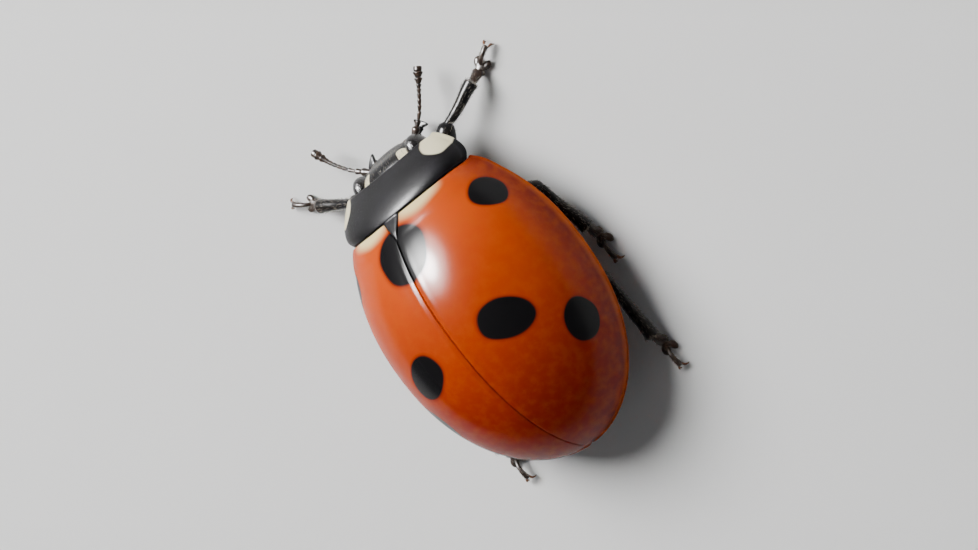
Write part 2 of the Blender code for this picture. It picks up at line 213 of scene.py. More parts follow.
def smooth_path(points, fractions):
    """A Catmull-Rom curve through the points, at fractions of its way."""
    knots = np.array(points, float)
    knots = np.vstack([2 * knots[0] - knots[1], knots, 2 * knots[-1] - knots[-2]])
    run = np.asarray(fractions) * (len(knots) - 3)
    i = np.minimum(run.astype(int), len(knots) - 4)
    u = (run - i)[:, None]
    a, b, c, d = (knots[i + k] for k in range(4))
    return 0.5 * (2 * b + (c - a) * u + (2 * a - 5 * b + 4 * c - d) * u ** 2
                  + (3 * b - a - 3 * c + d) * u ** 3)


def smooth_values(values, fractions):
    return smooth_path([(value,) for value in values], fractions)[:, 0]


def unit(vectors):
    vectors = np.asarray(vectors, float)
    return vectors / np.maximum(np.linalg.norm(vectors, axis=-1, keepdims=True), 1e-12)


def round_ends(fractions, start, end):
    """1 along a limb, falling to almost 0 in round ends over the given shares of its length."""
    edge = within(np.maximum(1 - fractions / start, 1 - (1 - fractions) / end))
    return np.sqrt(np.maximum(1 - edge ** 2, 0.0004))


def limb(points, widths, heights=None, ends=(0.1, 0.1), *, count, sides):
    """Rings of a smooth limb: half widths and heights are spaced evenly along it."""
    fractions = close_at_ends(count)
    closing = round_ends(fractions, *ends)
    path = smooth_path(points, fractions)
    forward = unit(np.gradient(path, axis=0))
    sideways = unit(np.cross(forward, (0.0, 0.0, 1.0)))
    upward = np.cross(sideways, forward)
    angles = full_turn(sides)[:, None]
    width, height = ((smooth_values(sizes, fractions) * closing)[:, None, None]
                     for sizes in (widths, heights or widths))
    return (path[:, None] + np.cos(angles) * sideways[:, None] * width
            + np.sin(angles) * upward[:, None] * height)


def ovoid(centre, radii, rows=30, columns=44):
    """Rings of an ellipsoid from its front pole to its rear pole."""
    polar = np.linspace(0, math.pi, rows)[:, None]
    around = full_turn(columns)
    points = sheet(np.sin(polar) * np.cos(around), -np.cos(polar), np.sin(polar) * np.sin(around))
    return points * radii + centre


def turned_outwards(normals, outwards):
    """The normals, each turned round where it points the other way."""
    return np.where((normals * outwards).sum(-1, keepdims=True) < 0, -normals, normals)


def sheet_normals(grid, centre):
    """Unit normals of a grid of points, turned away from the centre."""
    normals = unit(np.cross(np.gradient(grid, axis=0), np.gradient(grid, axis=1)))
    return turned_outwards(normals, grid - centre)


# --- The dome that both elytra share ---

def dome_half_width(t):
    front = np.maximum((WIDEST_AT - t) / (WIDEST_AT + 0.13), 0) ** 2.2
    rear = np.maximum((t - WIDEST_AT) / (1 - WIDEST_AT), 0) ** 2.1
    tuck = SHOULDER_TUCK * np.maximum(1 - t / SHOULDER_LENGTH, 0) ** 2
    return HALF_WIDTH * np.sqrt(np.maximum(1 - front - rear, 0)) * (1 - tuck)


def dome_rise(t):
    front = 0.42 * np.maximum((HIGHEST_AT - t) / HIGHEST_AT, 0) ** 2.1
    fall = np.maximum((t - HIGHEST_AT) / (1 - HIGHEST_AT), 0) ** 2.3
    return DOME_RISE * (1 - front) * np.maximum(1 - fall, 0) ** 0.62


def elytra_y(t, across):
    return ELYTRA_BASE_Y + ELYTRA_LENGTH * t - BASE_BOW * within(1 - t) ** 5 * across ** 2


def section(angle):
    """Across and up, from 1, 0 at the left margin over 0, 1 at the crest to -1, 0."""
    power = 2 / SECTION_POWER
    return signed_power(np.cos(angle), power), np.abs(np.sin(angle)) ** power


def dome_surface(t, angle):
    """The dome's points at fractions of its length and section angles."""
    across, up = section(angle)
    z = MARGIN_Z + SHOULDER_LIFT * (1 - t) ** 6 * (1 - up) + dome_rise(t) * up
    return sheet(dome_half_width(t) * across, elytra_y(t, across), z)


def dome_normal(t, angle):
    t = np.asarray(t, float)
    ahead, turn = 0.001, 0.02
    along = (dome_surface(np.minimum(t + ahead, 1), angle)
             - dome_surface(np.maximum(t - ahead, 0), angle))
    around = (dome_surface(t, np.minimum(angle + turn, math.pi))
              - dome_surface(t, np.maximum(angle - turn, 0)))
    outwards = dome_surface(t, angle) * (1, 0, 1) - (0, 0, MARGIN_Z - 0.5)
    normal = turned_outwards(unit(np.cross(along, around)), outwards)
    return np.where((t > 0.9995)[..., None], (0.0, 1.0, 0.0), normal)


def angle_at(across):
    """The section angle at a fraction of the half width, 0 at the suture and 1 at the margin."""
    return math.acos(min(1.0, across) ** (SECTION_POWER / 2))


def edge_roll(distance, radius):
    """How far a surface rolls in towards an edge at that distance from it."""
    near = np.clip(radius - distance, 0, radius)
    return radius - np.sqrt(radius ** 2 - near ** 2)


# --- Shader helpers ---

class Nodes:
    """Short calls that add nodes to the tree of a material or a world."""

    def __init__(self, tree):
        self.tree = tree

    def node(self, kind, inputs=(), **settings):
        """Adds a node and returns its outputs."""
        made = self.tree.nodes.new("ShaderNode" + kind)
        for key, value in settings.items():
            setattr(made, key, value)
        for key, value in dict(inputs).items():
            self.feed(made.inputs[key], value)
        return made.outputs

    def feed(self, socket, value):
        if isinstance(value, bpy.types.NodeSocket):
            self.tree.links.new(value, socket)
        else:
            socket.default_value = value

    def math(self, operation, a, b):
        return self.node("Math", {0: a, 1: b}, operation=operation)[0]

    def plus(self, a, b, factor):
        """a and the factor times b."""
        return self.math("ADD", a, self.math("MULTIPLY", b, factor))

    def vector(self, operation, a, b=(0, 0, 0), scale=1.0):
        outputs = self.node("VectorMath", {0: a, 1: b, 3: scale}, operation=operation)
        return outputs[1 if operation in ("LENGTH", "DOT_PRODUCT") else 0]

    def split(self, vector):
        return self.node("SeparateXYZ", {0: vector})

    def join(self, x, y, z):
        return self.node("CombineXYZ", {0: x, 1: y, 2: z})[0]

    def noise(self, place, scale, detail, output="Fac"):
        return self.node("TexNoise", {"Vector": place, "Scale": scale, "Detail": detail,
                                      "Roughness": 0.55})[output]

    def cells(self, place, scale, randomness=1.0):
        return self.node("TexVoronoi", {"Vector": place, "Scale": scale,
                                        "Randomness": randomness})["Distance"]

    def ramp(self, value, low, high, at_low=0.0, at_high=1.0, curve="SMOOTHSTEP"):
        return self.node("MapRange", {"Value": value, "From Min": low, "From Max": high,
                                      "To Min": at_low, "To Max": at_high},
                         interpolation_type=curve)[0]

    def cloud(self, place, scale, detail, low, high, at_low=0.0, at_high=1.0):
        """Noise with its contrast raised."""
        return self.ramp(self.noise(place, scale, detail), low, high, at_low, at_high)

    def mix(self, factor, *colours):
        a, b = ((*colour, 1.0) if isinstance(colour, tuple) else colour for colour in colours)
        return self.node("Mix", {0: factor, 6: a, 7: b}, data_type="RGBA")[2]


class Shader(Nodes):
    """A Principled material; a socket's name is written with underscores for its spaces."""

    def __init__(self, name, **constants):
        self.material = bpy.data.materials.new(name)
        self.material.use_nodes = True
        super().__init__(self.material.node_tree)
        self.surface = self.tree.nodes["Principled BSDF"]
        self.set(**constants)

    def set(self, **values):
        for key, value in values.items():
            self.feed(self.surface.inputs[key.replace("_", " ")], value)

    def place_mm(self):
        """The point's place in beetle millimetres."""
        metres = self.node("TexCoord")["Object"]
        return self.vector("SUBTRACT", self.vector("SCALE", metres, scale=1 / MM), (0, SHIFT_Y, 0))

    def folded(self, place):
        """The same place on the left side, so that both sides are marked alike."""
        x, y, z = self.split(place)
        return self.join(self.math("ABSOLUTE", x, 0.0), y, z)

    def wobbled(self, place, scale, amount):
        """The place moved a little, so that a mark's outline isn't too even."""
        shift = self.vector("SUBTRACT", self.noise(place, scale, 0.0, "Color"), (0.5, 0.5, 0.5))
        return self.vector("ADD", place, self.vector("SCALE", shift, scale=amount))

    def near(self, place, centre, sizes, outer, inner):
        """1 inside an ellipsoid at the centre, 0 outside it."""
        offset = self.vector("DIVIDE", self.vector("SUBTRACT", place, centre), sizes)
        return self.ramp(self.vector("LENGTH", offset), outer, inner)

    def bump(self, height, depth_mm, strength):
        self.set(Normal=self.node("Bump", {"Height": height, "Distance": depth_mm * MM,
                                           "Strength": strength})[0])


# --- Materials ---

BLACK = (0.0065, 0.006, 0.0068)
IVORY = (0.82, 0.74, 0.5)
CREAM = (0.92, 0.72, 0.34)
SHOULDER_ORANGE = (0.6, 0.07, 0.002)
# Darker red towards the tail: partly the shell's own colour, partly painted shade
TAIL_RED_AND_SHADE = (0.27, 0.01, 0.001)
# Painted shade: the darker red low on the flanks
FLANK_SHADE_RED = (0.13, 0.005, 0.001)
MOTTLE = (0.54, 0.09, 0.003)
# Paler rim: partly its own colour, partly a painted rim highlight
RIM_PALE_AND_HIGHLIGHT = (0.52, 0.1, 0.012)
FRINGE_BROWN = (0.22, 0.01, 0.002)

# name: place along the dome, place across it, half length, half width, turn in degrees
SPOTS = {
    "scutellar": (0.125, 0.0, 0.63, 0.6, 0),
    "front": (0.125, 0.905, 0.37, 0.42, 15),
    "middle": (0.503, 0.475, 0.43, 0.59, 25),
    "rear": (0.65, 0.875, 0.45, 0.38, 0),
}


def spot_frame(along, across, turn):
    """The spot's centre on the dome and its lengthwise, crosswise and outward directions."""
    angle = angle_at(across)
    centre = dome_surface(along, angle)
    outward = dome_normal(along, angle)
    ahead = dome_surface(along + 0.01, angle) - dome_surface(along - 0.01, angle)
    ahead = unit(ahead - outward * (ahead @ outward))
    side = np.cross(outward, ahead)
    turn = math.radians(turn)
    return (centre, ahead * math.cos(turn) + side * math.sin(turn),
            side * math.cos(turn) - ahead * math.sin(turn), outward)


def elytra_material():
    shader = Shader("elytra_shell", Roughness=0.5, IOR=1.45, Specular_IOR_Level=0.0,
                    Coat_Weight=0.5, Coat_Roughness=0.19, Coat_IOR=1.33)
    place = shader.place_mm()
    folded = shader.folded(place)
    y, z = shader.split(place)[1:]

    # Ground colour: orange at the shoulders and a darker red behind, partly painted shade; the
    # darker red towards the sides is painted shade
    back = shader.ramp(shader.plus(y, shader.noise(place, 0.55, 2.0), 1.6), -1.2, 4.4)
    side = shader.ramp(z, MARGIN_Z + 1.3, MARGIN_Z, 0.0, 0.9)
    ground = shader.mix(back, SHOULDER_ORANGE, TAIL_RED_AND_SHADE)
    ground = shader.mix(side, ground, FLANK_SHADE_RED)
    ground = shader.mix(shader.cloud(place, 5.0, 4.0, 0.35, 0.75, 0.0, 0.22), ground, MOTTLE)

    # The rim round the margin and the folded edge beneath are paler, partly their own colour and
    # partly a painted rim highlight
    rim = shader.ramp(z, MARGIN_Z + 0.16, MARGIN_Z + 0.02, 0.0, 0.55)
    ground = shader.mix(rim, ground, RIM_PALE_AND_HIGHLIGHT)

    # Pale patches beside the scutellum
    wobbled = shader.wobbled(folded, 1.3, 0.16)
    patch = shader.near(wobbled, (0.64, ELYTRA_BASE_Y, 2.25), (0.52, 0.24, 0.7), 1.35, 0.55)
    ground = shader.mix(patch, ground, CREAM)

    # Seven black spots: three on each side and one across the suture
    black, fringe = 0.0, 0.0
    for along, across, length, width, turn in SPOTS.values():
        centre, ahead, sideways, outward = spot_frame(along, across, turn)
        offset = shader.vector("SUBTRACT", wobbled, tuple(centre))
        sizes = ((ahead, length), (sideways, width), (outward, 2.0))
        parts = [shader.math("DIVIDE", shader.vector("DOT_PRODUCT", offset, tuple(axis)), size)
                 for axis, size in sizes]
        radius = shader.vector("LENGTH", shader.join(*parts))
        black = shader.math("MAXIMUM", black, shader.ramp(radius, 1.04, 0.94))
        fringe = shader.math("MAXIMUM", fringe, shader.ramp(radius, 1.16, 0.98, 0.0, 0.55))
    ground = shader.mix(fringe, ground, FRINGE_BROWN)
    shader.set(Base_Color=shader.mix(black, ground, BLACK))

    # Fine punctures all over
    pits = shader.ramp(shader.cells(place, 21.0), 0.02, 0.32)
    shader.bump(shader.plus(pits, shader.noise(place, 26.0, 2.0), 0.5), 0.003, 0.3)
    return shader.material


def cuticle_material(name, tint, roughness, coat, pits_per_mm, pit_depth, pale_patches=()):
    """Black, punctured cuticle, browner in places, with any ivory patches it carries."""
    shader = Shader(name, IOR=1.5, Specular_IOR_Level=0.07, Coat_Weight=coat,
                    Coat_Roughness=0.14, Coat_IOR=1.4)
    place = shader.place_mm()
    colour = shader.mix(shader.cloud(place, 2.2, 4.0, 0.35, 0.75), BLACK, tint)
    if pale_patches:
        edged = shader.wobbled(shader.folded(place), 3.0, 0.12)
        for centre, sizes in pale_patches:
            patch = shader.near(edged, centre, sizes, 1.06, 0.94)
            colour = shader.mix(patch, colour, IVORY)
    shader.set(Base_Color=colour)
    fine = shader.noise(place, 34.0, 3.0)
    shader.set(Roughness=shader.ramp(fine, 0.3, 0.7, roughness - 0.06, roughness + 0.08))
    pits = shader.ramp(shader.cells(place, pits_per_mm), 0.06, 0.28)
    shader.bump(shader.plus(pits, fine, 0.4), pit_depth, 0.7)
    return shader.material


def eye_material():
    """Black, with the fine facets of a compound eye."""
    shader = Shader("eye_facets", Roughness=0.22, Specular_IOR_Level=0.3, Coat_Weight=0.3,
                    Coat_Roughness=0.1)
    place = shader.place_mm()
    facets = shader.math("POWER", shader.cells(place, 36.0, 0.5), 2.0)
    rims = shader.ramp(facets, 0.1, 0.4)
    shader.set(Base_Color=shader.mix(rims, (0.007, 0.006, 0.007), (0.02, 0.016, 0.016)))
    shader.bump(shader.ramp(facets, 0.0, 0.45, 1.0, 0.0, "LINEAR"), 0.006, 0.6)
    return shader.material


def horn_material(name, dark, light, roughness):
    """Brown horn: feet, soles, claws, jaws and feelers."""
    shader = Shader(name, IOR=1.5, Specular_IOR_Level=0.25, Coat_Weight=0.2,
                    Coat_Roughness=0.12, Coat_IOR=1.4)
    place = shader.place_mm()
    grain = shader.cloud(place, 9.0, 4.0, 0.3, 0.7)
    shader.set(Base_Color=shader.mix(grain, dark, light))
    fine = shader.noise(place, 40.0, 2.0)
    shader.set(Roughness=shader.ramp(fine, 0.3, 0.7, roughness - 0.05, roughness + 0.08))
    shader.bump(fine, 0.004, 0.5)
    return shader.material


def hair_material():
    shader = Shader("setae_pale", Roughness=0.45, IOR=1.55)
    tone = shader.cloud(shader.place_mm(), 6.0, 3.0, 0.3, 0.7)
    shader.set(Base_Color=shader.mix(tone, (0.1, 0.075, 0.05), (0.26, 0.21, 0.15)))
    return shader.material


# --- Elytra and scutellum ---

SHELL_THICKNESS = 0.09
RIM_FLARE = 0.09               # how far the margin turns outwards
RIM_HEIGHT = 0.5               # how high up the side that begins
SEAM_RIDGE = 0.018             # a low swelling beside the seam, in a shallow furrow
SCUTELLUM_HALF_WIDTH = 0.2
SCUTELLUM_LENGTH = 0.42
SEAM = 0.012                   # the gap round the scutellum
SUTURE_HALF_GAP = 0.006        # the elytra meet more closely than their solids


def epipleuron_width(t):
    """The width of the edge folded under each elytron."""
    return np.interp(t, (0, 0.35, 0.75, 1.0), (0.52, 0.46, 0.3, 0.16))


def scutellum_half_width(y):
    return SCUTELLUM_HALF_WIDTH * (1 - rise(y, ELYTRA_BASE_Y, SCUTELLUM_LENGTH) ** 1.15)


def make_elytron(side, material):
    t = close_at_ends(110)[:, None]
    suture = [angle_at(across) for across in (0, 0.004, 0.01, 0.017, 0.026, 0.038)]
    middle = np.linspace(angle_at(0.055), math.radians(8), 60)
    margin = np.radians((6, 4.2, 2.8, 1.6, 0.7, 0))
    angles = np.concatenate([suture, middle, margin])
    surface, normal = dome_surface(t, angles), dome_normal(t, angles)
    across = surface[..., 0]
    roll = edge_roll(across, 0.026) + edge_roll(t * ELYTRA_LENGTH, 0.03)
    swelling = hump(across - 0.11, 0.045) - hump(across, 0.3)
    ridge = SEAM_RIDGE * np.sin(t * math.pi) ** 2 * swelling
    surface = surface + normal * (ridge - roll)[..., None]
    edge_normal = unit(dome_normal(t[:, 0], 0.0) * (1, 1, 0))
    height = rise(surface[..., 2], MARGIN_Z, RIM_HEIGHT)
    flare = (RIM_FLARE - (RIM_FLARE + 0.034) * t ** 4) * (1 - height) ** 2
    surface = surface + edge_normal[:, None] * flare[..., None]

    # Beyond the margin: a round bead, then the folded-under edge
    edge = surface[:, -1]
    bead = ((0.024, -0.012), (0.03, -0.03), (0.018, -0.05), (-0.008, -0.056), (-0.03, -0.045))
    fold = ((0.12, -0.03), (0.3, -0.012), (0.5, 0.004), (0.7, 0.014), (0.88, 0.018), (1.0, 0.03))
    rim = [edge + edge_normal * out + (0, 0, up) for out, up in bead]
    rim_in = [edge + edge_normal * -0.05 + (0, 0, 0.05)] * len(bead)
    for share, up in fold:
        shifted = edge - edge_normal * epipleuron_width(t) * share
        rim.append(shifted + (0, 0, up))
        rim_in.append(shifted + (0, 0, up + 0.07))
    outer = np.concatenate([surface, np.stack(rim, axis=1)], axis=1)
    inner = surface - normal * SHELL_THICKNESS
    inner = np.concatenate([inner, np.stack(rim_in, axis=1)], axis=1)

    # Both grids keep clear of the seam and make room for the scutellum
    for grid in (outer, inner):
        across = np.maximum(grid[..., 0], 0)
        beside_scutellum = grid[..., 1] < ELYTRA_BASE_Y + SCUTELLUM_LENGTH
        notch = scutellum_half_width(grid[..., 1]) + SEAM * beside_scutellum
        grid[..., 0] = SUTURE_HALF_GAP + across + notch * within(1 - across / HALF_WIDTH)
    place(Shape().plate(outer, inner).for_side(side), "shell_elytron_" + side, material, "elytra",
          ["elytron_" + side])


def make_tongue(material):
    """A dark ridge under the seam, so that nothing shows through between the shells."""
    t = np.linspace(SCUTELLUM_LENGTH / ELYTRA_LENGTH, 0.99, 70)[:, None]
    crest, normal = dome_surface(t, math.pi / 2), dome_normal(t, math.pi / 2)
    top = crest - normal * (SHELL_THICKNESS + 0.03 + 0.035 * t ** 4)[..., None]
    top = top + np.linspace(-0.07, 0.07, 7)[:, None] * (1, 0, 0)
    place(Shape().plate(top, top - normal * 0.03), "ridge_suture", material, "black_cuticle")


def make_scutellum(material):
    y = np.linspace(0, 1, 26)[:, None] * (SCUTELLUM_LENGTH + 0.04) + ELYTRA_BASE_Y - 0.03
    share = np.linspace(-1, 1, 25)
    half = np.maximum(scutellum_half_width(y), 0.008)
    crest = dome_surface(rise(y, ELYTRA_BASE_Y, ELYTRA_LENGTH), math.pi / 2)[..., 2]
    rounding = 0.035 * (1 - np.abs(share) ** 4) * np.minimum(1, half / 0.08)
    top = sheet(half * share, y, crest - 0.012 + rounding)
    place(Shape().plate(top, top - (0, 0, 0.2)), "plate_scutellum", material, "black_cuticle",
          ["scutellum"])


# --- Pronotum and prothorax ---

PRONOTUM_THICKNESS = 0.08
PRONOTUM_OVERLAP = 0.028       # how far its rear edge reaches into the gap before the elytra


def pronotum_half_width(v):
    behind = within(1 - v / PRONOTUM_WIDEST_AT)
    ahead = rise(v, PRONOTUM_WIDEST_AT, 1 - PRONOTUM_WIDEST_AT)
    spare = PRONOTUM_HALF_WIDTH - PRONOTUM_FRONT_HALF_WIDTH
    return PRONOTUM_HALF_WIDTH * (1 - 0.05 * behind ** 2) - spare * ahead ** 1.8


def pronotum_y(v, across):
    bow = PRONOTUM_REAR_BOW * (1 - v) + PRONOTUM_FRONT_BOW * v
    return PRONOTUM_REAR_Y - PRONOTUM_LENGTH * v - bow * across ** 2


def pronotum_edge(v):
    """The height of the side margin, which falls towards the front corner."""
    return PRONOTUM_EDGE_Z - PRONOTUM_EDGE_FALL * within(v)


def pronotum_surface(v, angle):
    """v runs from the rear margin, 0, to the front margin, 1."""
    across, up = section(angle)
    fall = (PRONOTUM_CREST_Z - PRONOTUM_FRONT_HEIGHT) * within(v) ** 1.35
    edge = pronotum_edge(v)
    z = edge + (PRONOTUM_CREST_Z - fall - edge) * up
    return sheet(pronotum_half_width(v) * across, pronotum_y(v, across), z)


def make_pronotum(material):
    v = close_at_ends(64, -PRONOTUM_OVERLAP / PRONOTUM_LENGTH)[:, None]
    left = np.radians(np.concatenate([(0, 0.8, 1.8, 3, 4.5, 6.5), np.linspace(9, 90, 40)]))
    angles = np.concatenate([left, math.pi - left[-2::-1]])
    surface = pronotum_surface(v, angles)
    normal = sheet_normals(surface, (0, -2.2, 0.7))
    rear = v * PRONOTUM_LENGTH + PRONOTUM_OVERLAP
    front = (1 - v) * PRONOTUM_LENGTH
    height = surface[..., 2] - pronotum_edge(v)
    bead = 0.022 * hump(height - 0.045, 0.045) - 0.012 * hump(height - 0.15, 0.05)
    lift = bead - edge_roll(rear, 0.022) - edge_roll(front, 0.045) - edge_roll(height, 0.03)
    outer = surface + normal * lift[..., None]
    inner = outer - normal * PRONOTUM_THICKNESS
    place(Shape().plate(outer, inner), "plate_pronotum", material, "black_cuticle", ["pronotum"])


def prosternum_height(across, v):
    """The underside between the pronotum's edges, deepest between the front legs."""
    drop = 0.44 * np.sin(math.pi * within(0.12 + 0.76 * (1 - v))) ** 0.8
    bowl = within(1 - np.abs(across) ** 2.2) ** 0.8
    ridge = 0.02 * hump(np.abs(across) - 0.045, 0.014) + 0.03 * hump(across, 0.09)
    seam = 0.018 * hump(np.abs(across) - 0.56 - 0.1 * v, 0.012)
    return pronotum_edge(v) + 0.02 - drop * bowl - ridge * (v < 0.9) + seam


def make_prothorax(material):
    v = close_at_ends(50, 0.03, 0.95)[:, None]
    across = from_side_to_side(121)
    half = pronotum_half_width(v) - 0.05
    under = sheet(half * across, pronotum_y(v, across), prosternum_height(across, v))
    roof = pronotum_surface(v, np.arccos(signed_power(across, SECTION_POWER / 2)))
    over = roof * (0.93, 1, 1) - (0, 0, PRONOTUM_THICKNESS + 0.03)
    over[..., 1] += 0.2 * v
    over[..., 2] = np.maximum(over[..., 2], under[..., 2] + 0.02)
    place(Shape().plate(under, over), "sternum_prothorax", material, "dark_underside",
          ["prothorax"])
    return under


# --- Thorax and abdomen, seen from beneath ---

VENTRITE_ENDS = (THORAX_END, 0.53, 0.63, 0.72, 0.8, 0.88, 0.95, 1.02)
VENTRITE_STEP = 0.04           # how far each plate stands proud of the next
BELLY_END = 0.993


def belly_grid(t, across, relief):
    """The underside at fractions along and across it; relief is counted outwards."""
    depth = KEEL_DEPTH * (1 - rise(t, 0.3, 0.7) ** 1.6) - 0.04
    bowl = within(1 - np.abs(across) ** 2.4) ** 0.85
    z = MARGIN_Z + 0.03 + SHOULDER_LIFT * within(1 - t) ** 6 - depth * bowl - relief
    half = dome_half_width(t) - epipleuron_width(t) + 0.07
    return sheet(half * across, elytra_y(t, across), z)


def close_belly(under, name, material, node, *bodies):
    """The underside with a lid inside the shells, and any bodies that belong to its piece."""
    over = under.copy()
    to_tail = 1 - (over[..., 1] - ELYTRA_BASE_Y) / ELYTRA_LENGTH
    over[..., 2] = MARGIN_Z + 0.12 + 0.18 * rise(to_tail, 0, 0.15)
    place(Shape(*bodies).plate(under, over), name, material, "dark_underside", [node])
    return under


def neck_rings():
    """The front of the thorax, which fills the pronotum's rear opening."""
    around = full_turn(60)
    across, up = section(around)
    up = np.where(np.sin(around) < 0, -0.25 * up, up)
    rings = []
    for back, size in ((-0.3, 0.8), (-0.12, 0.9), (0.0, 0.93), (0.1, 0.93), (0.3, 0.9)):
        half = pronotum_half_width(0.0) * size
        height = (PRONOTUM_CREST_Z - PRONOTUM_EDGE_Z) * size
        y = PRONOTUM_REAR_Y + back - PRONOTUM_REAR_BOW * across ** 2
        rings.append(sheet(half * across, y, PRONOTUM_EDGE_Z + height * up))
    return rings


def make_thorax(material):
    t = np.linspace(0.0, THORAX_END - 0.004, 96)[:, None]
    across = from_side_to_side(141)
    side = np.abs(across)
    between = 0.135 + 0.06 * (1 - side)
    relief = -0.022 * hump(t - between, 0.008) * (side < 0.7)
    relief = relief - 0.03 * hump(side, 0.008) * rise(t, 0.2, 0.04)
    relief = relief - 0.03 * hump(side - 0.74 + 0.12 * t, 0.009) * rise(t, 0.1, 0.03)
    relief = relief - 0.02 * hump(side - 0.9, 0.007)
    relief = relief + 0.05 * hump(t - 0.27, 0.1) * within(1 - side * 1.5)
    return close_belly(belly_grid(t, across, relief), "sternum_thorax", material, "thorax",
                       neck_rings())


def make_abdomen(material):
    """Plates that each swell at their front, rise to their rear and step down to the next."""
    share = np.concatenate([np.linspace(0, 0.9, 14), [0.94, 0.97, 0.99, 1.0]])
    swell = np.sqrt(1 - within(1 - share / 0.12) ** 2)
    height = (0.45 * share + 0.55 * swell) * np.sqrt(1 - rise(share, 0.95, 0.05) ** 2 * 0.6)
    starts, ends = np.array(VENTRITE_ENDS[:-1])[:, None], np.array(VENTRITE_ENDS[1:])[:, None]
    t = (starts + (ends - starts) * share).ravel()
    shown = t <= BELLY_END
    t = t[shown][:, None]
    across = from_side_to_side(121)
    side = np.abs(across)
    bowed = np.clip(t - 0.014 * side ** 2 * (t > 0.5), 0, BELLY_END)
    arc = np.hypot((t - 0.4) / 0.085, (side - 0.42) / 0.36)
    relief = VENTRITE_STEP * np.tile(height, len(starts))[shown][:, None]
    relief = relief - 0.02 * hump(arc - 1, 0.05) * (t < 0.525)
    return close_belly(belly_grid(bowed, across, relief), "plates_abdomen", material, "abdomen")


# --- Head ---

HEAD_BACK = np.array((0, -2.5, 1.5))
HEAD_FRONT = np.array((0, -3.34, 1.0))
HEAD_HALF_WIDTH = 0.84
HEAD_HALF_DEPTH = 0.42
HEAD_BEND = math.radians(20)     # the head is made held forwards, then bent down by this
HEAD_SHIFT = np.array((0, 0.12, -0.12))
HEAD_SWELLS = (0.72, 0.9, 0.98, 1.0, 0.95, 0.8, 0.52)
HEAD_FLATS = (0.6, 0.85, 0.98, 1.0, 0.92, 0.75, 0.48)
EYE_CENTRE = (0.76, -2.99, 1.34)
EYE_RADII = (0.22, 0.29, 0.34)


def bent_down(points):
    """Places of a head held forwards, moved with the head as it is bent down and drawn in."""
    x, y, z = np.moveaxis(np.asarray(points, float) - HEAD_BACK, -1, 0)
    turned = sheet(x, y * math.cos(HEAD_BEND) - z * math.sin(HEAD_BEND),
                   y * math.sin(HEAD_BEND) + z * math.cos(HEAD_BEND))
    return turned + HEAD_BACK + HEAD_SHIFT


def place_on_head(shape, name, material, replaces=(), slot="black_cuticle"):
    shape.points = bent_down(shape.points)
    place(shape, name, material, slot, replaces)


def make_head(material):
    u = np.concatenate([np.linspace(0, 0.94, 52), np.linspace(0.95, 1.0, 8)])[:, None]
    around = full_turn(96)
    axis = HEAD_FRONT - HEAD_BACK
    sideways = np.array((1.0, 0, 0))
    upward = np.cross(axis / np.linalg.norm(axis), sideways)
    beside = np.abs(np.cos(around))
    up = signed_power(np.sin(around), 0.95)
    tip = 1 - 0.5 * rise(u, 0.95, 0.05) ** 2
    width = HEAD_HALF_WIDTH * smooth_values(HEAD_SWELLS, u[:, 0])[:, None] * tip
    depth = HEAD_HALF_DEPTH * smooth_values(HEAD_FLATS, u[:, 0])[:, None] * tip
    top = within(np.sin(around))
    dip = 0.045 * hump(beside, 0.5) * hump(u - 0.62, 0.2) * top
    shelf = 0.012 * hump(u - 0.84, 0.014) * top * (beside < 0.8)
    socket = 0.06 * hump(np.hypot(u - 0.9, (beside - 0.93) * 1.4), 0.07)
    nape = 1 + 0.12 * top * within(1 - u / 0.7)
    height = depth * up * nape - (dip + shelf + socket) * np.sign(up)
    across = width * signed_power(np.cos(around), 0.9)
    rings = (HEAD_BACK + axis * u[..., None] + sideways * across[..., None]
             + upward * height[..., None])
    place_on_head(Shape(rings), "capsule_head", material, ["head"])
    return bent_down(rings)


def make_eye(side, looks):
    globe = Shape(ovoid(EYE_CENTRE, EYE_RADII, 48, 72))
    place_on_head(globe.for_side(side), "facets_eye_" + side, looks["eyes"], ["eye_" + side], "eye")
    canthus = limb([(0.6, -3.27, 1.2), (0.76, -3.22, 1.24), (0.9, -3.13, 1.29)],
                   (0.08, 0.07, 0.03), (0.05, 0.045, 0.03), count=24, sides=20)
    place_on_head(Shape(canthus).for_side(side), "canthus_" + side, looks["head"])


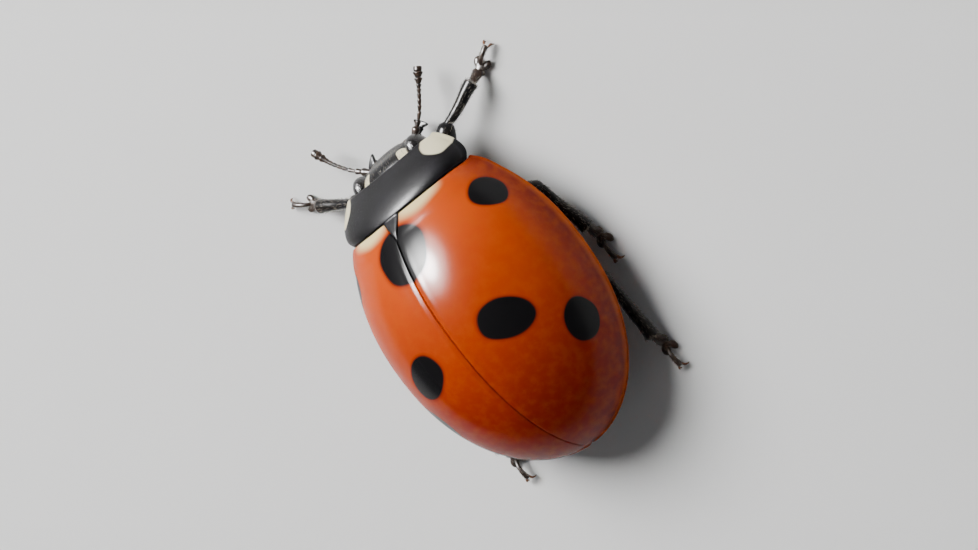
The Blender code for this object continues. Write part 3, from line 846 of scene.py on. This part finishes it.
def make_mouth(looks):
    """Upper lip, jaws, lower lip and the bases of the palps."""
    across = np.linspace(-1, 1, 41)
    down = np.linspace(0, 1, 18)[:, None]
    bow = 0.1 * across ** 2
    lip_front = sheet(0.33 * across * (1 - 0.12 * down ** 3),
                      -3.4 - 0.13 * np.sin(down * 1.9) + bow,
                      1.02 - 0.2 * down + 0.03 * across ** 2 * down)
    clypeus = sheet(0.43 * across * (1 - 0.1 * down), -3.23 - 0.2 * down + bow * 0.8,
                    1.225 - 0.18 * down - 0.06 * across ** 2)
    lip = Shape().plate(lip_front, lip_front + (0, 0.05, 0.012))
    lip.plate(clypeus, clypeus + (0, 0.08, -0.1))
    place_on_head(lip, "mouth_lip_and_clypeus", looks["head"], ["mouthparts"])
    for side in ("left", "right"):
        jaw = limb([(0.36, -3.24, 0.84), (0.34, -3.42, 0.8), (0.22, -3.53, 0.77),
                    (0.07, -3.56, 0.75)], (0.12, 0.11, 0.08, 0.02), (0.1, 0.09, 0.06, 0.015),
                   ends=(0.1, 0.06), count=36, sides=24)
        place_on_head(Shape(jaw).for_side(side), "jaw_" + side, looks["jaws"])
        base = [limb([(0.34, -3.02, 0.66), (0.36, -3.18, 0.64), (0.34, -3.33, 0.68)],
                     (0.1, 0.13, 0.08), (0.07, 0.09, 0.07), count=26, sides=24)]
        for radius, *points in ((0.04, (0.08, -3.22, 0.66), (0.11, -3.34, 0.63),
                                 (0.14, -3.42, 0.59)),
                                (0.032, (0.135, -3.41, 0.595), (0.17, -3.49, 0.56),
                                 (0.19, -3.56, 0.53))):
            base.append(limb(points, (radius * 0.8, radius, radius * 0.9), count=16, sides=14))
        place_on_head(Shape(*base).for_side(side), "maxilla_" + side, looks["head"])
    chin = ovoid((0, -3.1, 0.7), (0.23, 0.26, 0.1), 24, 40)
    place_on_head(Shape(chin), "labium", looks["head"])


# --- Feelers ---

ANTENNA_PATH = ((0.6, -3.32, 1.12), (0.98, -3.62, 1.16), (1.28, -3.98, 1.26), (1.55, -4.44, 1.31))
PALP_PATH = ((0.34, -3.3, 0.74), (0.54, -3.5, 0.76), (0.76, -3.7, 0.78))

# Each joint's length, then its half width at its base and at its tip
ANTENNA_JOINTS = ((0.27, 0.06, 0.085), (0.14, 0.052, 0.062), (0.19, 0.034, 0.046),
                  (0.12, 0.036, 0.045), (0.12, 0.036, 0.046), (0.11, 0.037, 0.047),
                  (0.1, 0.038, 0.05), (0.09, 0.042, 0.058), (0.13, 0.054, 0.084),
                  (0.12, 0.07, 0.102), (0.11, 0.086, 0.086))
PALP_JOINTS = ((0.1, 0.045, 0.055), (0.23, 0.048, 0.08), (0.12, 0.06, 0.085))
JOINT_OVERLAP = 0.012
HATCHET_LENGTH = 0.27
HATCHET_HALF_WIDTHS = (0.06, 0.1, 0.155, 0.19, 0.17)


def along_path(points, start, end, count):
    """Places on the smooth path between two distances from its start."""
    fine = smooth_path(points, np.linspace(0, 1, 240))
    run = np.concatenate([[0], np.cumsum(np.linalg.norm(np.diff(fine, axis=0), axis=1))])
    wanted = np.linspace(start, min(end, run[-1]), count)
    return sheet(*(np.interp(wanted, run, coordinates) for coordinates in fine.T))


def jointed(points, joints):
    """A row of round-ended joints along the path: their rings, and where the last one ends."""
    bodies, reached = [], 0.0
    for length, base, tip in joints:
        places = along_path(points, max(reached - JOINT_OVERLAP, 0), reached + length, 7)
        widths = (base * 0.86, base, (base + tip) / 2, tip, tip * 0.92)
        bodies.append(limb(places, widths, ends=(0.14, 0.2), count=26, sides=22))
        reached += length
    return bodies, reached


def make_feelers(side, looks):
    antenna = jointed(ANTENNA_PATH, ANTENNA_JOINTS)[0]
    palp, reached = jointed(PALP_PATH, PALP_JOINTS)
    places = along_path(PALP_PATH, reached - 0.02, reached + HATCHET_LENGTH, 7)
    palp.append(limb(places, HATCHET_HALF_WIDTHS, (0.05, 0.055, 0.05, 0.045, 0.04), count=30,
                     sides=30))
    for name, bodies, look in (("antenna_", antenna, "feelers"), ("palp_", palp, "head")):
        place_on_head(Shape(*bodies).for_side(side), "feeler_" + name + side, looks[look],
                      [name + side])


# --- Legs ---

# Coxa, its radii, hip, knee, ankle and toe
LEGS = {
    "front": ((0.45, -2.12, 0.68), (0.32, 0.25, 0.24), (0.74, -2.24, 0.54), (1.4, -2.82, 0.74),
              (2.22, -3.2, 0.4), (2.92, -3.66, 0.12)),
    "middle": ((0.64, -1.12, 0.71), (0.38, 0.33, 0.2), (0.98, -1.06, 0.54), (2.3, -0.68, 0.78),
               (2.4, 0.48, 0.4), (2.4, 1.4, 0.12)),
    "hind": ((0.7, 0.4, 0.63), (0.56, 0.25, 0.16), (1.12, 0.56, 0.52), (2.3, 1.62, 0.78),
             (2.14, 2.98, 0.4), (2.16, 3.86, 0.12)),
}
FEMUR_HALF_WIDTHS = (0.14, 0.19, 0.22, 0.22, 0.19, 0.13)
FEMUR_HALF_HEIGHTS = (0.15, 0.21, 0.25, 0.25, 0.21, 0.13)
TIBIA_HALF_WIDTHS = (0.075, 0.1, 0.115, 0.13, 0.15)
TIBIA_HALF_HEIGHTS = (0.08, 0.105, 0.12, 0.135, 0.15)


def blend(a, b, share):
    return a * (1 - share) + b * share


def make_thigh(coxa, hip, knee):
    """Trochanter and femur, from the hip to just past the knee."""
    along = unit(knee - hip)
    rising = np.array((0, 0, 0.03))
    trochanter = limb([blend(coxa, hip, 0.5), hip - (0, 0, 0.02), hip + along * 0.36],
                      (0.14, 0.145, 0.12), (0.12, 0.15, 0.13), ends=(0.25, 0.3), count=26, sides=24)
    path = [hip - along * 0.02, blend(hip, knee, 0.35) + rising, blend(hip, knee, 0.7) + rising,
            knee + along * 0.05]
    femur = limb(path, FEMUR_HALF_WIDTHS, FEMUR_HALF_HEIGHTS, ends=(0.08, 0.1), count=64, sides=40)
    return trochanter, femur


def make_shin(hip, knee, ankle):
    """A slender tibia that widens to its end, and the two spurs there."""
    along = unit(ankle - knee)
    bow = unit(np.cross(along, np.cross(unit(knee - hip), along))) * 0.035
    path = [knee - along * 0.02, blend(knee, ankle, 0.22) - bow, blend(knee, ankle, 0.5) - bow,
            blend(knee, ankle, 0.8), ankle + along * 0.02]
    tibia = limb(path, TIBIA_HALF_WIDTHS, TIBIA_HALF_HEIGHTS, ends=(0.05, 0.03), count=56, sides=32)
    aside = unit(np.cross(along, (0, 0, 1)))
    spurs = []
    for turn in (-1, 1):
        root = ankle - (0, 0, 0.1) + aside * 0.06 * turn
        tip = root + along * 0.13 - (0, 0, 0.05)
        spurs.append(limb([root, blend(root, tip, 0.5), tip], (0.018, 0.013, 0.003),
                          ends=(0.1, 0.05), count=14, sides=10))
    return tibia, spurs


def make_foot(ankle, toe):
    """Two lobed pads and the claw joint, the soles under the pads, and the toothed claws.

    A place here is a share of the way from ankle to toe, then how far sideways and how high.
    """
    start = ankle * (1, 1, 0)
    step = toe * (1, 1, 0) - start
    aside = unit((-step[1], step[0], 0))

    def at(forward, sideways, height):
        return start + step * forward + aside * sideways + (0, 0, height)

    def rod(places, widths, heights, ends, count, sides):
        path = [at(*place) for place in places]
        return limb(path, widths, heights, ends, count=count, sides=sides)

    pads = [rod(((-0.04, 0, 0.4), (0.12, 0, 0.26), (0.29, 0, 0.15)), (0.07, 0.1, 0.14),
                (0.08, 0.085, 0.07), (0.15, 0.25), 28, 28),
            rod(((0.24, 0, 0.17), (0.36, 0, 0.14), (0.46, 0, 0.12)), (0.07, 0.11, 0.12),
                (0.06, 0.06, 0.05), (0.15, 0.3), 24, 28)]
    claw_joint = rod(((0.4, 0, 0.16), (0.55, 0, 0.235), (0.74, 0, 0.235), (0.92, 0, 0.165)),
                     (0.035, 0.042, 0.05, 0.065), (0.035, 0.042, 0.05, 0.06), (0.1, 0.12), 40, 24)
    soles = [ovoid(at(0.22, 0, 0.085), (0.09, 0.11, 0.05), 14, 24)]
    lobes, claws = [], []
    for turn in (-1, 1):
        lobe = ((0.33, 0.06 * turn, 0.13), (0.44, 0.11 * turn, 0.1), (0.56, 0.13 * turn, 0.07))
        lobes.append(rod(lobe, (0.05, 0.075, 0.055), (0.05, 0.055, 0.045), (0.2, 0.35), 24, 22))
        soles.append(ovoid(at(0.45, 0.1 * turn, 0.055), (0.055, 0.08, 0.04), 14, 24))
        hook = ((0.87, 0.03 * turn, 0.17), (0.945, 0.07 * turn, 0.155), (0.97, 0.1 * turn, 0.09),
                (0.96, 0.115 * turn, 0.012))
        claws.append(rod(hook, (0.027, 0.024, 0.016, 0.004), (0.03, 0.028, 0.019, 0.004),
                         (0.1, 0.04), 32, 16))
        tooth = ((0.94, 0.055 * turn, 0.15), (0.965, 0.06 * turn, 0.1), (0.97, 0.065 * turn, 0.05))
        claws.append(rod(tooth, (0.018, 0.014, 0.003), (0.022, 0.016, 0.003), (0.1, 0.05), 20, 14))
    return pads, lobes, claw_joint, soles, claws


def make_leg(pair, side, looks, coat):
    socket, radii, hip, knee, ankle, toe = np.array(LEGS[pair])
    coxa = ovoid(socket, radii)
    trochanter, femur = make_thigh(socket, hip, knee)
    tibia, spurs = make_shin(hip, knee, ankle)
    pads, lobes, claw_joint, soles, claws = make_foot(ankle, toe)
    stem = "_".join(("leg", pair, side))
    for joint, look, bodies in (("_coxa", "underside", [coxa]),
                                ("_femur", "legs", [trochanter, femur]),
                                ("_tibia", "legs", [tibia, *spurs]),
                                ("_tarsus", "feet", [*pads, *lobes, claw_joint])):
        place(Shape(*bodies).for_side(side), "joint_" + stem + joint, looks[look], "legs",
              [stem + joint])
    place(Shape(*soles).for_side(side), "soles_" + stem, looks["soles"], "legs")
    place(Shape(*claws).for_side(side), "claws_" + stem, looks["claws"], "legs")

    # How many hairs, their length and lean: sparse on the thigh and thick on the foot
    coat.grow(femur, 150, 0.065, 1.8, side)
    coat.grow(tibia, 230, 0.075, 1.6, side)
    coat.grow(tibia[-8:], 90, 0.09, 1.8, side)
    for rings in (*pads, claw_joint):
        coat.grow(rings, 60, 0.06, 1.6, side)
    for sole in soles:
        coat.grow(sole, 120, 0.03, 0.6, side, below=-0.1)
    coat.grow(coxa, 70, 0.07, 1.4, side, below=0.1)


# --- Hairs ---

UV_CELLS = 12                  # the unwrap is a square of this many cells a side
CELL_MARGIN = 0.04
TUFT_PATCH = 0.003             # how wide one hair's patch is on the unwrap
HAIR_HALF_WIDTH = 0.0032
LOWEST_HAIR = 0.002
THIRDS = [(math.cos(math.tau * k / 3), math.sin(math.tau * k / 3)) for k in range(3)]


class Coat:
    """Short hairs in one mesh: thin solid spikes, rooted on the grids of the skin."""

    def __init__(self, seed):
        self.random = np.random.default_rng(seed)
        self.points = []
        self.uvs = []
        self.cell = 0

    def grow(self, grid, count, length, lean, side="left", below=2.0, rings=True):
        """Hairs at random places of the grid, leaning towards its last row.

        Only those stay whose normal's z is less than below; rings says that the rows close.
        """
        if rings:
            grid = np.concatenate([grid, grid[:, :1]], axis=1)
        normals = sheet_normals(grid, grid.mean(axis=(0, 1)))
        tangents = unit(np.gradient(grid, axis=0))
        rows, columns = grid.shape[0] - 1, grid.shape[1] - 1
        sizes = np.linalg.norm(np.cross(grid[1:, :-1] - grid[:-1, :-1],
                                        grid[:-1, 1:] - grid[:-1, :-1]), axis=-1).ravel()
        picked = self.random.choice(len(sizes), count, p=sizes / sizes.sum())
        i, j = picked // columns, picked % columns
        a, b = self.random.random((2, count, 1))

        def between(values):
            return ((values[i, j] * (1 - a) + values[i + 1, j] * a) * (1 - b)
                    + (values[i, j + 1] * (1 - a) + values[i + 1, j + 1] * a) * b)

        root, normal, tangent = between(grid), unit(between(normals)), unit(between(tangents))
        stray = self.random.normal(0, 0.22, (count, 3))
        lengths = length * self.random.uniform(0.7, 1.25, (count, 1))
        uv = np.stack([(i + a[:, 0]) / rows, (j + b[:, 0]) / columns], axis=-1)
        corner = np.array((self.cell % UV_CELLS, self.cell // UV_CELLS))
        uv = (corner + CELL_MARGIN + (1 - 2 * CELL_MARGIN) * uv) / UV_CELLS
        self.cell += 1
        chosen = normal[:, 2] < below
        root, normal, tangent, stray, lengths, uv = (
            values[chosen] for values in (root, normal, tangent, stray, lengths, uv))
        heading = unit(normal + tangent * lean + stray)
        bent = unit(normal * 0.5 + tangent * (lean + 0.5) + stray)
        beside = unit(np.cross(heading, normal + 0.3 * stray + 1e-6))
        third = np.cross(heading, beside)
        spike = [root + heading * lengths * share
                 + (beside * x + third * y) * HAIR_HALF_WIDTH * width
                 for share, width in ((-0.1, 1.0), (0.5, 0.75)) for x, y in THIRDS]
        spike.append(root + heading * lengths * 0.5 + bent * lengths * 0.5)
        corners = [(width * x, width * y) for width in (1.0, 0.6) for x, y in THIRDS] + [(0, 0)]
        mirror = (-1, 1, 1) if side == "right" else (1, 1, 1)
        self.points.append(np.stack(spike, axis=1) * mirror)
        self.uvs.append(uv[:, None] + np.array(corners) * TUFT_PATCH / 2)

    def place(self, name, material, slot):
        points = np.concatenate(self.points).reshape(-1, 3)
        points[:, 2] = np.maximum(points[:, 2], LOWEST_HAIR)
        spike = [(0, 2, 1)]
        for a, b in ((0, 1), (1, 2), (2, 0)):
            spike += [(a, b, b + 3, a + 3), (a + 3, b + 3, 6)]
        faces = [tuple(first + corner for corner in face)
                 for first in range(0, len(points), 7) for face in spike]
        mesh = new_mesh(name, points, faces)
        layer = mesh.uv_layers.new(name="OFBake")
        corner_points = np.empty(len(mesh.loops), dtype=np.int64)
        mesh.loops.foreach_get("vertex_index", corner_points)
        uvs = np.concatenate(self.uvs).reshape(-1, 2)[corner_points]
        layer.data.foreach_set("uv", uvs.astype(np.float32).ravel())
        ride_along(name, mesh, material)


# --- Camera, light and floor ---

VIEW_BACK = Vector((-0.467, 0.062, 0.882))     # from the beetle to the camera
VIEW_UP = Vector((-0.545, -0.806, -0.231))
VIEW_TARGET = (-0.573, 0.116, 1.5)
VIEW_DISTANCE = 72.0                           # millimetres
LENS = 134.0
HIGHLIGHT = (0.212, 0.17)                      # where the key light glints, along and across
KEY_DISTANCE = 0.12                            # metres
WORLD_HORIZON = 0.18
WORLD_ZENITH = 0.06


def world_point(point_mm):
    return (Vector(point_mm) + Vector((0, SHIFT_Y, 0))) * MM


def make_camera():
    data = bpy.data.cameras.new("camera")
    data.lens = LENS
    data.clip_start = 0.002
    data.clip_end = 10
    camera = new_object("camera", data)
    back = VIEW_BACK.normalized()
    right = VIEW_UP.cross(back).normalized()
    camera.matrix_world = Matrix((right, back.cross(right), back)).transposed().to_4x4()
    camera.location = world_point(VIEW_TARGET) + back * VIEW_DISTANCE * MM
    bpy.context.scene.camera = camera
    return camera


def area_light(name, place_m, target_m, size_m, power, glint=False):
    """A soft disc of light that either lights matt surfaces or shows in glossy ones."""
    data = bpy.data.lights.new(name, "AREA")
    data.shape = "DISK"
    data.size = size_m
    data.energy = power
    light = new_object(name, data)
    light.visible_glossy = glint
    light.visible_diffuse = not glint
    light.location = place_m
    light.rotation_euler = (Vector(target_m) - Vector(place_m)).to_track_quat("-Z", "Y").to_euler()


def make_lights(camera):
    """The key stands where the right elytron's front mirrors it into the camera."""
    along, across = HIGHLIGHT
    angle = angle_at(across)
    glint, normal = (Vector(of_dome(along, angle) * (-1, 1, 1))
                     for of_dome in (dome_surface, dome_normal))
    glint_m = world_point(glint)
    to_camera = (camera.location - glint_m).normalized()
    to_light = 2 * normal.dot(to_camera) * normal - to_camera
    key_m = glint_m + to_light * KEY_DISTANCE
    area_light("key", key_m, glint_m, size_m=0.08, power=0.28)
    area_light("key_glint", key_m, glint_m, size_m=0.036, power=2.2, glint=True)
    area_light("key_halo", key_m + to_light * 0.001, glint_m, size_m=0.08, power=0.8, glint=True)
    area_light("fill", (0.12, 0.08, 0.12), (0, 0, 0), size_m=0.16, power=0.02)
    area_light("front", (-0.03, -0.15, 0.09), (0, 0, 0), size_m=0.12, power=0.02)


def make_world():
    """Soft light all round, brightest at the horizon, so that black stays black from above."""
    world = bpy.data.worlds.new("studio")
    world.use_nodes = True
    nodes = Nodes(world.node_tree)
    height = nodes.split(nodes.node("TexCoord")["Generated"])["Z"]
    background = world.node_tree.nodes["Background"].inputs
    background["Color"].default_value = (0.92, 0.95, 1.0, 1)
    strength = nodes.ramp(height, -0.05, 0.85, WORLD_HORIZON, WORLD_ZENITH)
    nodes.feed(background["Strength"], strength)
    bpy.context.scene.world = world


def make_floor():
    bm = bmesh.new()
    bmesh.ops.create_circle(bm, cap_ends=True, segments=64, radius=0.6)
    mesh = bpy.data.meshes.new("floor")
    bm.to_mesh(mesh)
    bm.free()
    shader = Shader("floor_paper", Roughness=0.9, Specular_IOR_Level=0.0)
    grain = shader.noise(shader.place_mm(), 0.35, 4.0)
    shader.set(Base_Color=shader.mix(grain, (0.86, 0.855, 0.845), (0.89, 0.885, 0.875)))
    mesh.materials.append(shader.material)
    floor = new_object("floor", mesh)


# --- The whole beetle ---

def make_looks():
    """Every material, by the name that the pieces use."""
    # Ivory patches: centre and half sizes
    corner = ((1.28, -2.62, 1.25), (0.33, 0.34, 0.54))
    flank = ((1.46, -1.16, 0.98), (0.26, 0.17, 0.5))
    brow = (bent_down((0.5, -2.99, 1.6)), (0.13, 0.15, 0.15))
    # Tint, roughness, coat, punctures per millimetre, their depth and the ivory patches
    cuticles = {
        "shield": ((0.011, 0.01, 0.013), 0.4, 0.12, 19.0, 0.003, [corner]),
        "head": ((0.012, 0.01, 0.01), 0.31, 0.3, 20.0, 0.005, [brow]),
        "underside": ((0.02, 0.015, 0.013), 0.38, 0.2, 13.0, 0.009, [flank, corner]),
        "legs": ((0.018, 0.013, 0.01), 0.32, 0.25, 22.0, 0.004, []),
    }
    # Material, dark colour, light colour and roughness
    horns = {
        "feet": ("horn_feet", (0.02, 0.011, 0.007), (0.045, 0.022, 0.012), 0.36),
        "soles": ("pads_soles", (0.07, 0.045, 0.025), (0.14, 0.1, 0.06), 0.6),
        "claws": ("horn_claws", (0.1, 0.032, 0.012), (0.19, 0.07, 0.025), 0.25),
        "feelers": ("horn_feelers", (0.016, 0.01, 0.008), (0.06, 0.03, 0.016), 0.34),
        "jaws": ("horn_jaws", (0.03, 0.012, 0.007), (0.1, 0.035, 0.014), 0.25),
    }
    looks = {part: cuticle_material("cuticle_" + part, *row) for part, row in cuticles.items()}
    looks.update({part: horn_material(*row) for part, row in horns.items()})
    looks.update(elytra=elytra_material(), eyes=eye_material(), hairs=hair_material())
    return looks


def make_beetle():
    looks = make_looks()
    for side in ("left", "right"):
        make_elytron(side, looks["elytra"])
    make_tongue(looks["underside"])
    make_scutellum(looks["shield"])
    make_pronotum(looks["shield"])
    body_coat, leg_coat, head_coat = Coat(3), Coat(5), Coat(7)
    for make_sternum, count in ((make_prothorax, 1000), (make_thorax, 1500), (make_abdomen, 2000)):
        body_coat.grow(make_sternum(looks["underside"]), count, 0.085, 1.8, below=0, rings=False)
    head_coat.grow(make_head(looks["head"]), 600, 0.05, 1.5)
    make_mouth(looks)
    for side in ("left", "right"):
        make_eye(side, looks)
        make_feelers(side, looks)
        for pair in LEGS:
            make_leg(pair, side, looks, leg_coat)
    body_coat.place("setae_underside", looks["hairs"], "dark_underside")
    head_coat.place("setae_head", looks["hairs"], "black_cuticle")
    leg_coat.place("setae_legs", looks["hairs"], "legs")


make_beetle()
make_lights(make_camera())
make_world()
make_floor()
